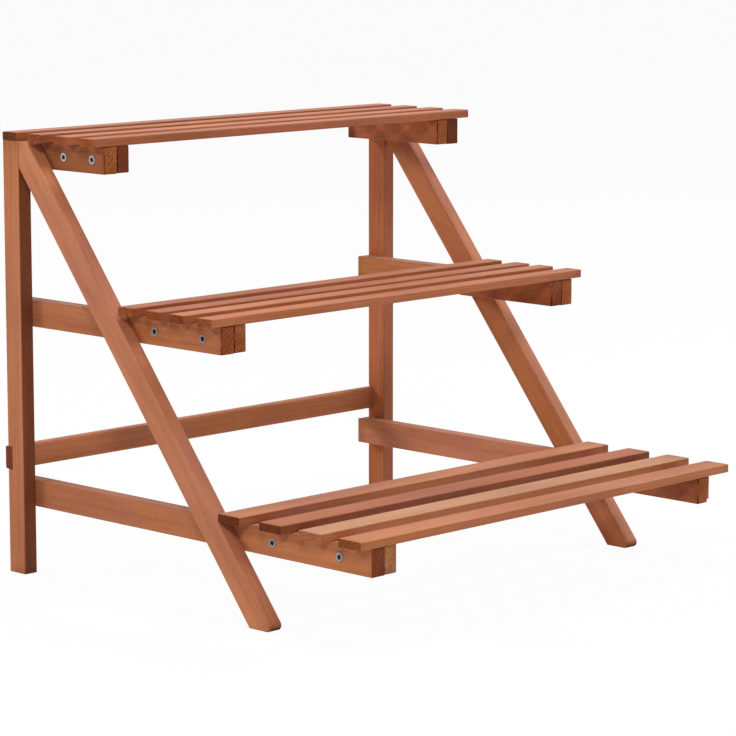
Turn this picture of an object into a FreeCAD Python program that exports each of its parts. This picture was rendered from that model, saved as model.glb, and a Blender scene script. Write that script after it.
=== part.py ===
import FreeCAD, Part
import os
import Sketcher
from FreeCAD import Placement, Rotation, Vector

# Three-tier slatted plant stand in stained softwood.
# X runs along the slats, Y from the front to the back, Z up.
# The origin is on the floor, midway between the ends and midway from front to back.
#
# Each side is a frame: an upright post at the back, a leg that leans from the head of
# the post down to the front, and three level rails fixed to the inner faces of both.
# Each shelf is a tray of four slats on two bearers, screwed in between the two frames.

os.makedirs("parts", exist_ok=True)
doc = FreeCAD.newDocument("PlantStand")

# Slack for picking an edge by its direction or its place
NEAR = 0.01

# ---------------------------------------------------------------- driving dimensions, mm

SIZES = {
    # the whole stand
    "overall_width": 480,
    "overall_depth": 450,
    "overall_height": 400,
    "middle_height": 257,
    "bottom_height": 93,
    # side frames
    "post_thickness": 14,
    "post_depth": 21.5,
    "leg_width": 23.5,
    "leg_head_flat": 11.5,
    "toe_round": 4.5,
    "heel_round": 1.5,
    "rail_thickness": 15,
    "rail_height": 24,
    "rail_relief": 0.3,
    "right_rail_setback": 10,
    # shelves
    "bearer_thickness": 14,
    "bearer_height": 24,
    "slat_thickness": 7.5,
    "slat_nose": 1,
    "middle_slat_inset": 2,
    "top_slat_width": 18.5,
    "middle_slat_width": 18.5,
    "bottom_slat_width": 26,
    "top_gap_1": 15,
    "top_gap_2": 16.5,
    "top_gap_3": 16.5,
    "middle_gap_1": 16.5,
    "middle_gap_2": 11.5,
    "middle_gap_3": 17,
    "bottom_gap_1": 20,
    "bottom_gap_2": 21,
    "bottom_gap_3": 24,
    "middle_leg_gap": 3.5,
    "bottom_leg_gap": 0.5,
    # back rail and the housings cut for it
    "back_rail_thickness": 9.5,
    "back_rail_height": 21,
    "back_rail_proud": 3.5,
    "back_rail_lift": 9.5,
    "back_rail_round": 2,
    "housing_lip_round": 3,
    # bevel along the edges of every board
    "arris": 0.8,
    # countersunk screws
    "screw_diameter": 4,
    "screw_head": 8,
    "screw_length": 26,
    "recess_width": 1.2,
    "recess_span": 4.4,
    "recess_depth": 1.4,
    "top_screw_1": 17,
    "top_screw_2": 55,
    "middle_screw_1": 24,
    "middle_screw_2": 85,
    "bottom_screw_1": 38.5,
    "bottom_screw_2": 117.5,
    # square headless nails
    "nail_width": 1.2,
    "slat_nail_bite": 7,
    "frame_nail_bite": 10,
    "frame_nail_spread": 6,
    "back_nail_bite": 11,
    "back_nail_spread": 5,
}

TIERS = ("top", "middle", "bottom")
SIDES = {"left": "-", "right": ""}
SLATS = ("1", "2", "3", "4")

# Faces, levels and stations that follow from the sizes. Slat 1 is the front one.
LAYOUT = {
    "half_width": "Sizes.overall_width / 2",
    "stand_front": "-Sizes.overall_depth / 2",
    "stand_rear": "Sizes.overall_depth / 2",
    "post_rear": "stand_rear - Sizes.back_rail_proud",
    "post_front": "post_rear - Sizes.post_depth",
    "post_middle": "post_rear - Sizes.post_depth / 2",
    "side_middle": "half_width - Sizes.post_thickness / 2",
    "rail_outer": "half_width - Sizes.post_thickness",
    "rail_inner": "rail_outer - Sizes.rail_thickness",
    "bearer_inner": "rail_inner - Sizes.bearer_thickness",
    "bearer_middle": "(rail_inner + bearer_inner) / 2",
    "top_seat": "Sizes.overall_height - Sizes.slat_thickness",
    "middle_seat": "Sizes.middle_height - Sizes.slat_thickness",
    "bottom_seat": "Sizes.bottom_height - Sizes.slat_thickness",
    "top_slat_length": "Sizes.overall_width",
    "middle_slat_length": "Sizes.overall_width - 2 * Sizes.middle_slat_inset",
    "bottom_slat_length": "Sizes.overall_width",
}
for tier in TIERS:
    gaps = " + ".join(f"Sizes.{tier}_gap_{n}" for n in SLATS[:-1])
    LAYOUT[f"{tier}_depth"] = f"{len(SLATS)} * Sizes.{tier}_slat_width + {gaps}"
    LAYOUT[f"{tier}_rail_bottom"] = f"{tier}_seat - Sizes.rail_relief - Sizes.rail_height"
    LAYOUT[f"{tier}_rail_middle"] = f"{tier}_rail_bottom + Sizes.rail_height / 2"

# The leg's front face passes just behind the bottom shelf and meets the top shelf
# leg_head_flat in front of the post. leg_run is the leg's width along the floor.
LAYOUT.update({
    "bottom_front": "stand_front",
    "top_front": "post_rear - top_depth",
    "leg_low": "bottom_front + bottom_depth + Sizes.bottom_leg_gap",
    "leg_head": "post_front - Sizes.leg_head_flat",
    "leg_slope": "(leg_head - leg_low) / (top_seat - bottom_seat)",
    "leg_foot": "leg_low - leg_slope * bottom_seat",
    "leg_run": "Sizes.leg_width * sqrt(1 + leg_slope * leg_slope)",
    "leg_butt_low": "(post_front - leg_foot - leg_run) / leg_slope",
    "middle_front": "leg_foot + leg_slope * middle_seat - Sizes.middle_leg_gap - middle_depth",
})
for tier in TIERS:
    LAYOUT[f"{tier}_slat_1"] = f"{tier}_front"
    for last, n in zip(SLATS, SLATS[1:]):
        LAYOUT[f"{tier}_slat_{n}"] = (
            f"{tier}_slat_{last} + Sizes.{tier}_slat_width + Sizes.{tier}_gap_{last}")
    LAYOUT[f"{tier}_rail_front"] = f"{tier}_front + Sizes.slat_nose"
    LAYOUT[f"{tier}_bearer_length"] = f"{tier}_depth - Sizes.slat_nose"

LAYOUT.update({
    "back_rail_bottom": "bottom_seat - Sizes.rail_relief + Sizes.back_rail_lift",
    "housing_depth": "Sizes.back_rail_thickness - Sizes.back_rail_proud",
    "back_nail_start": "stand_rear - Sizes.back_rail_thickness - Sizes.back_nail_bite",
    "back_nail_length": "Sizes.back_rail_thickness + Sizes.back_nail_bite",
    "slat_nail_length": "Sizes.slat_thickness + Sizes.slat_nail_bite",
    "frame_nail_length": "Sizes.rail_thickness + Sizes.frame_nail_bite",
})


def fill_sheet(name, cells):
    """A sheet with a label, a value and the value's alias in each row."""
    sheet = doc.addObject("Spreadsheet::Sheet", name)
    for row, (alias, content) in enumerate(cells.items(), start=1):
        sheet.set(f"A{row}", alias)
        sheet.set(f"B{row}", content)
        sheet.setAlias(f"B{row}", alias)
    return sheet


fill_sheet("Sizes", {alias: str(value) for alias, value in SIZES.items()})
layout = fill_sheet("Layout", {alias: f"={formula}" for alias, formula in LAYOUT.items()})
doc.recompute()

# ---------------------------------------------------------------- building blocks


def bind(target, formulas):
    for path, formula in formulas.items():
        target.setExpression(path, formula)


def place(target, x, y, z):
    bind(target, {
        "Placement.Base.x": x,
        "Placement.Base.y": y,
        "Placement.Base.z": z,
    })


def sketch_on(body, name, role, offset=None):
    """A sketch on one of the body's own origin planes, or parallel to it at an offset."""
    sketch = body.newObject("Sketcher::SketchObject", f"{body.Name}_{name}")
    plane = next(item for item in body.Origin.OriginFeatures if item.Role == role)
    sketch.AttachmentSupport = [(plane, "")]
    sketch.MapMode = "FlatFace"
    if offset:
        bind(sketch, {"AttachmentOffset.Base.z": offset})
    return sketch


def fix_point(sketch, geometry, position, u, v):
    """Holds one point of a sketch at (u, v) from the sketch's origin."""
    for kind, formula in (("DistanceX", u), ("DistanceY", v)):
        index = sketch.addConstraint(
            Sketcher.Constraint(kind, -1, 1, geometry, position, 1.0))
        label = f"{kind}_{geometry}_{position}"
        sketch.renameConstraint(index, label)
        sketch.setExpression(f"Constraints.{label}", formula)


def evaluate(formula):
    return float(layout.evalExpression(formula))


def draw_outline(sketch, corners):
    """A closed outline through corners given as pairs of formulas."""
    count = len(corners)
    flat = [Vector(evaluate(u), evaluate(v), 0) for u, v in corners]
    lines = [sketch.addGeometry(Part.LineSegment(flat[n], flat[(n + 1) % count]))
             for n in range(count)]
    for n in range(count):
        sketch.addConstraint(
            Sketcher.Constraint("Coincident", lines[n], 2, lines[(n + 1) % count], 1))
        fix_point(sketch, lines[n], 1, *corners[n])


def draw_squares(sketch, points, width):
    half = f"{width} / 2"
    for u, v in points:
        draw_outline(sketch, [
            (f"{u} - {half}", f"{v} - {half}"),
            (f"{u} + {half}", f"{v} - {half}"),
            (f"{u} + {half}", f"{v} + {half}"),
            (f"{u} - {half}", f"{v} + {half}"),
        ])


def draw_circles(sketch, points, diameter):
    for u, v in points:
        middle = Vector(evaluate(u), evaluate(v), 0)
        ring = sketch.addGeometry(
            Part.Circle(middle, Vector(0, 0, 1), evaluate(diameter) / 2))
        fix_point(sketch, ring, 3, u, v)
        index = sketch.addConstraint(Sketcher.Constraint("Diameter", ring, 1.0))
        sketch.renameConstraint(index, f"Bore_{ring}")
        sketch.setExpression(f"Constraints.Bore_{ring}", diameter)


def pad_sketch(body, sketch, thickness):
    pad = body.newObject("PartDesign::Pad", f"{body.Name}_pad")
    pad.Profile = sketch
    bind(pad, {"Length": thickness})
    sketch.Visibility = False
    doc.recompute()


def pad_outline(body, role, corners, thickness):
    sketch = sketch_on(body, "outline", role)
    draw_outline(sketch, corners)
    pad_sketch(body, sketch, thickness)


def round_edges(body, name, radius, wanted):
    """Rounds the edges of the body's tip that the test picks out."""
    base = body.Tip
    names = [f"Edge{n}" for n, edge in enumerate(base.Shape.Edges, start=1) if wanted(edge)]
    fillet = body.newObject("PartDesign::Fillet", f"{body.Name}_{name}")
    fillet.Base = (base, names)
    bind(fillet, {"Radius": radius})
    doc.recompute()


def bevel_edges(body, name, size, wanted):
    """Bevels the edges of the body's tip that the test picks out."""
    base = body.Tip
    names = [f"Edge{n}" for n, edge in enumerate(base.Shape.Edges, start=1) if wanted(edge)]
    chamfer = body.newObject("PartDesign::Chamfer", f"{body.Name}_{name}")
    chamfer.Base = (base, names)
    bind(chamfer, {"Size": size})
    doc.recompute()


def runs_along(direction):
    """Picks the straight edges that run along one direction."""
    def test(edge):
        if not isinstance(edge.Curve, Part.Line):
            return False
        return edge.Curve.Direction.cross(direction).Length < NEAR
    return test


def cut_sketch(body, sketch, depth=None, forward=False):
    """Cuts a sketch's outlines out of the body, right through unless a depth is given.

    The cut goes against the sketch plane's normal, or along it when forward is set.
    """
    before = body.Tip.Shape.Volume
    pocket = body.newObject("PartDesign::Pocket", f"{sketch.Name}_cut")
    pocket.Profile = sketch
    pocket.Reversed = forward
    if depth:
        bind(pocket, {"Length": depth})
    else:
        pocket.Type = "ThroughAll"
    sketch.Visibility = False
    doc.recompute()
    assert pocket.Shape.Volume < before, f"{pocket.Name} cuts nothing"
    return pocket


def drill(body, name, role, points, offset=None, **cut):
    """Round screw holes square to an origin plane."""
    sketch = sketch_on(body, name, role, offset)
    draw_circles(sketch, points, "Sizes.screw_diameter")
    cut_sketch(body, sketch, **cut)


def pierce(body, name, role, points, offset=None, **cut):
    """Square nail holes square to an origin plane."""
    sketch = sketch_on(body, name, role, offset)
    draw_squares(sketch, points, "Sizes.nail_width")
    cut_sketch(body, sketch, **cut)


def new_body(label):
    body = doc.addObject("PartDesign::Body", label)
    body.Label = label
    return body


def board(label, role, length, width, thickness, grain):
    """A plain board with its corner at its own origin and its long edges bevelled."""
    body = new_body(label)
    corners = [("0", "0"), (length, "0"), (length, width), ("0", width)]
    pad_outline(body, role, corners, thickness)
    bevel_edges(body, "arris", "Sizes.arris", runs_along(grain))
    return body


def layer(side, inner, outer):
    """Where a side piece starts in X, between its inner and outer faces."""
    return f"-({outer})" if side == "left" else inner


# ---------------------------------------------------------------- where the fixings go


def frame_nails(tier):
    """The four nails of one rail, as (Y, Z): two into the post and two into the leg."""
    points = []
    for sign in ("-", "+"):
        level = f"(Layout.{tier}_rail_middle {sign} Sizes.frame_nail_spread)"
        points.append(("Layout.post_middle", level))
        leg_face = f"Layout.leg_foot + Layout.leg_slope * {level}"
        points.append((f"({leg_face} + Sizes.leg_width / 2)", level))
    return points


def shelf_screws(tier):
    """The two screws through one rail into its bearer, as (Y, Z)."""
    return [(f"(Layout.{tier}_front + Sizes.{tier}_screw_{n})", f"Layout.{tier}_rail_middle")
            for n in (1, 2)]


def slat_middle(tier, n):
    return f"(Layout.{tier}_slat_{n} + Sizes.{tier}_slat_width / 2)"


def moved(points, u, v):
    """The same points measured from another origin."""
    return [(f"{a} - ({u})", f"{b} - ({v})") for a, b in points]


def back_nails():
    """The levels of the two nails at each end of the back rail."""
    return [f"(Layout.back_rail_bottom + Sizes.back_rail_height / 2 {sign} Sizes.back_nail_spread)"
            for sign in "-+"]


# ---------------------------------------------------------------- side frames


def make_post(side):
    """Upright with a housing in its rear edge for the back rail."""
    post = board(f"post_{side}", "YZ_Plane", "Sizes.post_depth", "Layout.top_seat",
                 "Sizes.post_thickness", Vector(0, 0, 1))
    place(post, layer(side, "Layout.rail_outer", "Layout.half_width"), "Layout.post_front", "0")

    sketch = sketch_on(post, "housing", "YZ_Plane")
    floor = "Sizes.post_depth - Layout.housing_depth"
    mouth = "Sizes.post_depth + Sizes.back_rail_proud"
    low = "Layout.back_rail_bottom"
    high = "Layout.back_rail_bottom + Sizes.back_rail_height"
    draw_outline(sketch, [(floor, low), (mouth, low), (mouth, high), (floor, high)])
    cut_sketch(post, sketch, forward=True)

    if side == "right":
        lip = Vector(0, evaluate("Sizes.post_depth"), evaluate(high))

        def on_lip(edge):
            middle = edge.CenterOfMass
            return (runs_along(Vector(1, 0, 0))(edge) and abs(middle.y - lip.y) < NEAR
                    and abs(middle.z - lip.z) < NEAR)
        round_edges(post, "lip", "Sizes.housing_lip_round", on_lip)

    nails = [point for tier in TIERS for point in frame_nails(tier)[0::2]]
    pierce_from_inside(post, side, moved(nails, "Layout.post_front", "0"))
    pierce(post, "back_nail", "XZ_Plane",
           [("Sizes.post_thickness / 2", level) for level in back_nails()],
           offset="Layout.housing_depth - Sizes.post_depth", forward=True,
           depth="Sizes.back_nail_bite")
    return post


def pierce_from_inside(body, side, points):
    """Blind nail holes in a post or leg, from the face that the rails lie against."""
    depth = "Sizes.frame_nail_bite"
    if side == "left":
        pierce(body, "nail", "YZ_Plane", points, offset="Sizes.post_thickness", depth=depth)
    else:
        pierce(body, "nail", "YZ_Plane", points, depth=depth, forward=True)


def make_leg(side):
    """Leaning leg: butts against the post, level under the top shelf and on the floor."""
    leg = new_body(f"leg_{side}")
    corners = [
        ("Layout.leg_foot", "0"),
        ("Layout.leg_foot + Layout.leg_run", "0"),
        ("Layout.post_front", "Layout.leg_butt_low"),
        ("Layout.post_front", "Layout.top_seat"),
        ("Layout.leg_head", "Layout.top_seat"),
    ]
    pad_outline(leg, "YZ_Plane", corners, "Sizes.post_thickness")
    place(leg, layer(side, "Layout.rail_outer", "Layout.half_width"), "0", "0")

    def on_floor_at(place):
        """Picks the edge across the foot that meets the floor at one place."""
        def test(edge):
            middle = edge.CenterOfMass
            return (runs_along(Vector(1, 0, 0))(edge) and abs(middle.y - place) < NEAR
                    and abs(middle.z) < NEAR)
        return test

    toe = evaluate("Layout.leg_foot")
    heel = toe + evaluate("Layout.leg_run")
    round_edges(leg, "toe", "Sizes.toe_round", on_floor_at(toe))
    round_edges(leg, "heel", "Sizes.heel_round", on_floor_at(heel))

    slope = evaluate("Layout.leg_slope")
    grain = Vector(0, slope, 1).normalize()
    bevel_edges(leg, "arris", "Sizes.arris", runs_along(grain))

    nails = [point for tier in TIERS for point in frame_nails(tier)[1::2]]
    pierce_from_inside(leg, side, nails)
    return leg


def make_rail(tier, side):
    """Level rail from the back of the post to the front of its shelf."""
    setback = "0"
    if (tier, side) == ("bottom", "right"):
        setback = "Sizes.right_rail_setback"
    front = f"(Layout.{tier}_rail_front + {setback})"
    bottom = f"Layout.{tier}_rail_bottom"
    rail = board(f"rail_{tier}_{side}", "YZ_Plane", f"Layout.post_rear - {front}",
                 "Sizes.rail_height", "Sizes.rail_thickness", Vector(0, 1, 0))
    place(rail, layer(side, "Layout.rail_inner", "Layout.rail_outer"), front, bottom)
    pierce(rail, "nail", "YZ_Plane", moved(frame_nails(tier), front, bottom), forward=True)
    drill(rail, "screw", "YZ_Plane", moved(shelf_screws(tier), front, bottom), forward=True)

    outer = 0 if side == "left" else evaluate("Sizes.rail_thickness")

    def on_outer_rim(edge):
        return (isinstance(edge.Curve, Part.Circle) and edge.isClosed()
                and abs(edge.Curve.Center.x - outer) < NEAR)
    bevel_edges(rail, "sink", "(Sizes.screw_head - Sizes.screw_diameter) / 2", on_outer_rim)
    return rail


# ---------------------------------------------------------------- shelves


def make_bearer(tier, side):
    """Cross-bearer under the ends of one shelf's slats."""
    bearer = board(f"bearer_{tier}_{side}", "YZ_Plane", f"Layout.{tier}_bearer_length",
                   "Sizes.bearer_height", "Sizes.bearer_thickness", Vector(0, 1, 0))
    front = f"Layout.{tier}_rail_front"
    bottom = f"(Layout.{tier}_seat - Sizes.bearer_height)"
    place(bearer, layer(side, "Layout.bearer_inner", "Layout.rail_inner"), front, bottom)
    screws = moved(shelf_screws(tier), front, bottom)
    bite = "Sizes.screw_length - Sizes.rail_thickness"
    if side == "left":
        drill(bearer, "screw", "YZ_Plane", screws, depth=bite, forward=True)
    else:
        drill(bearer, "screw", "YZ_Plane", screws, offset="Sizes.bearer_thickness", depth=bite)
    nails = [("Sizes.bearer_thickness / 2", f"{slat_middle(tier, n)} - {front}") for n in SLATS]
    pierce(bearer, "nail", "XY_Plane", nails, offset="Sizes.bearer_height",
           depth="Sizes.slat_nail_bite")
    return bearer


def make_slat(tier, n):
    length = f"Layout.{tier}_slat_length"
    width = f"Sizes.{tier}_slat_width"
    slat = board(f"slat_{tier}_{n}", "XY_Plane", length, width, "Sizes.slat_thickness",
                 Vector(1, 0, 0))
    place(slat, f"-{length} / 2", f"Layout.{tier}_slat_{n}", f"Layout.{tier}_seat")
    nails = [(f"{length} / 2 {sign} Layout.bearer_middle", f"{width} / 2") for sign in "-+"]
    pierce(slat, "nail", "XY_Plane", nails, forward=True)
    return slat


def make_back_rail():
    """Cross rail let into the rear edges of both posts."""
    rail = new_body("back_rail")
    corners = [("0", "0"), ("Sizes.overall_width", "0"),
               ("Sizes.overall_width", "Sizes.back_rail_height"), ("0", "Sizes.back_rail_height")]
    pad_outline(rail, "XZ_Plane", corners, "Sizes.back_rail_thickness")
    place(rail, "-Layout.half_width", "Layout.stand_rear", "Layout.back_rail_bottom")
    round_edges(rail, "rounded", "Sizes.back_rail_round", runs_along(Vector(1, 0, 0)))
    nails = [(f"{sign}Layout.side_middle", level) for sign in SIDES.values()
             for level in back_nails()]
    pierce(rail, "nail", "XZ_Plane", moved(nails, "-Layout.half_width", "Layout.back_rail_bottom"),
           forward=True)
    return rail


# ---------------------------------------------------------------- screws and nails


def make_screw(label):
    """Countersunk screw with a cross recess, head upwards and level with its origin."""
    screw = new_body(label)
    profile = sketch_on(screw, "profile", "XZ_Plane")
    head = "Sizes.screw_head / 2"
    shank = "Sizes.screw_diameter / 2"
    draw_outline(profile, [
        ("0", "0"),
        (head, "0"),
        (shank, f"-({head} - {shank})"),
        (shank, "-Sizes.screw_length"),
        ("0", "-Sizes.screw_length"),
    ])
    turned = screw.newObject("PartDesign::Revolution", f"{label}_turned")
    turned.Profile = profile
    turned.ReferenceAxis = (profile, ["V_Axis"])
    turned.Angle = 360
    profile.Visibility = False
    doc.recompute()

    slot = sketch_on(screw, "slot", "XY_Plane")
    reach = "Sizes.recess_span / 2"
    half = "Sizes.recess_width / 2"
    draw_outline(slot, [(f"-{reach}", f"-{half}"), (reach, f"-{half}"),
                        (reach, half), (f"-{reach}", half)])
    recess = cut_sketch(screw, slot, depth="Sizes.recess_depth")

    cross = screw.newObject("PartDesign::PolarPattern", f"{label}_cross")
    cross.Originals = [recess]
    cross.Axis = (slot, ["N_Axis"])
    cross.Angle = 180
    cross.Occurrences = 2
    screw.Tip = cross
    doc.recompute()
    return screw


def make_nail(label, length):
    """Straight headless nail that stands on its own origin."""
    nail = new_body(label)
    sketch = sketch_on(nail, "section", "XY_Plane")
    draw_squares(sketch, [("0", "0")], "Sizes.nail_width")
    pad_sketch(nail, sketch, length)
    return nail


def fixing_set(label, seed, stations):
    """A group of like fixings, each a separate solid at its own station."""
    links = []
    for index, (x, y, z, turn) in enumerate(stations):
        link = doc.addObject("App::Link", f"{label}_{index}")
        link.LinkedObject = seed
        link.Placement = Placement(Vector(), turn)
        place(link, x, y, z)
        links.append(link)
    group = doc.addObject("Part::Compound", label)
    group.Label = label
    group.Links = links
    return group


# Turns that bring a fixing's upward direction to the way its head faces.
HEAD_TO = {
    "left": Rotation(Vector(0, 0, 1), Vector(-1, 0, 0)),
    "right": Rotation(Vector(0, 0, 1), Vector(1, 0, 0)),
    "rear": Rotation(Vector(0, 0, 1), Vector(0, 1, 0)),
}

# ---------------------------------------------------------------- the stand, piece by piece

pieces = []
for side in SIDES:
    pieces.append(make_post(side))
    pieces.append(make_leg(side))
    pieces.extend(make_rail(tier, side) for tier in TIERS)
pieces.append(make_back_rail())
for tier in TIERS:
    pieces.extend(make_bearer(tier, side) for side in SIDES)
    pieces.extend(make_slat(tier, n) for n in SLATS)

shelf_screw = make_screw("shelf_screw")
for tier in TIERS:
    stations = [(f"{sign}Layout.rail_outer", y, z, HEAD_TO[side])
                for side, sign in SIDES.items() for y, z in shelf_screws(tier)]
    pieces.append(fixing_set(f"shelf_screws_{tier}", shelf_screw, stations))

slat_nail = make_nail("slat_nail", "Layout.slat_nail_length")
for tier in TIERS:
    stations = [(f"{sign}Layout.bearer_middle", slat_middle(tier, n),
                 f"Layout.{tier}_seat - Sizes.slat_nail_bite", Rotation())
                for sign in SIDES.values() for n in SLATS]
    pieces.append(fixing_set(f"slat_nails_{tier}", slat_nail, stations))

frame_nail = make_nail("frame_nail", "Layout.frame_nail_length")
for side, sign in SIDES.items():
    stations = [(f"{sign}Layout.rail_inner", y, z, HEAD_TO[side])
                for tier in TIERS for y, z in frame_nails(tier)]
    pieces.append(fixing_set(f"frame_nails_{side}", frame_nail, stations))

back_nail = make_nail("back_nail", "Layout.back_nail_length")
stations = [(f"{sign}Layout.side_middle", "Layout.back_nail_start", level, HEAD_TO["rear"])
            for sign in SIDES.values() for level in back_nails()]
pieces.append(fixing_set("back_rail_nails", back_nail, stations))

doc.recompute()

# ---------------------------------------------------------------- checks and files

for item in doc.Objects:
    faults = [state for state in item.State if state in ("Invalid", "Error")]
    assert not faults, f"{item.Name} is {faults}"
for piece in pieces:
    assert not piece.Shape.isNull() and piece.Shape.isValid(), f"{piece.Label} is broken"
for piece in pieces:
    piece.Shape.exportStep(f"parts/{piece.Label}.step")
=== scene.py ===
import math
from functools import partial
from random import Random

import bmesh
import bpy
from mathutils import Matrix, Vector


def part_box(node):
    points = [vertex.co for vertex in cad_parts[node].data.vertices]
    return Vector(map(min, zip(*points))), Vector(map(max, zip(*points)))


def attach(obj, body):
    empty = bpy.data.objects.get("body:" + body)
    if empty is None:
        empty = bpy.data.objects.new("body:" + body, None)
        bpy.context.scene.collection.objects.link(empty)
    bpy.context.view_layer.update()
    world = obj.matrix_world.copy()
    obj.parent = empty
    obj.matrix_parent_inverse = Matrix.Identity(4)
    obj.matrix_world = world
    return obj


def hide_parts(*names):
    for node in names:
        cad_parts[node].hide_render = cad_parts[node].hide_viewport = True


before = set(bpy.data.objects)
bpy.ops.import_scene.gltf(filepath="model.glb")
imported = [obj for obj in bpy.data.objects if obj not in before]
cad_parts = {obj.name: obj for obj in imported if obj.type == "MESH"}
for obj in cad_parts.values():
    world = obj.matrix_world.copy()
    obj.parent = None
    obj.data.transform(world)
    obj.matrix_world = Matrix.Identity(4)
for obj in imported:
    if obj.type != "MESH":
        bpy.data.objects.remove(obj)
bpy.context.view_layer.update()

# ------------------------------------------------------------------ rear posts
# Two uprights of planed softwood, stained red-brown before the stand was put together.
# Each has a housing sawn across its rear edge, which the back rail is let into.

POST_ARRIS = 0.0009
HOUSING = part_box("back_rail")
HOUSING_LIP = 0.003


def add_node(tree, kind, feeds=None, **settings):
    """One node of a material or of a maker's tree. Feeds are sockets or plain values."""
    node = tree.nodes.new(kind)
    for name, value in settings.items():
        setattr(node, name, value)
    for key, value in (feeds or {}).items():
        if isinstance(value, bpy.types.NodeSocket):
            tree.links.new(value, node.inputs[key])
        else:
            node.inputs[key].default_value = value
    return node


def work_out(tree, operation, first, second=0.0, third=0.0):
    """A sum of sockets or plain values, done by a Math node."""
    return add_node(tree, "ShaderNodeMath", {0: first, 1: second, 2: third},
                    operation=operation).outputs[0]


def add_ramp(tree, value, stops):
    """A colour ramp through (position, colour) stops. A plain number stands for a grey."""
    node = add_node(tree, "ShaderNodeValToRGB", {0: value})
    bar = node.color_ramp
    while len(bar.elements) < len(stops):
        bar.elements.new(0.5)
    for element, (position, colour) in zip(bar.elements, stops):
        element.position = position
        element.color = (*([colour] * 3 if isinstance(colour, float) else colour), 1.0)
    return node.outputs[0]


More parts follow.
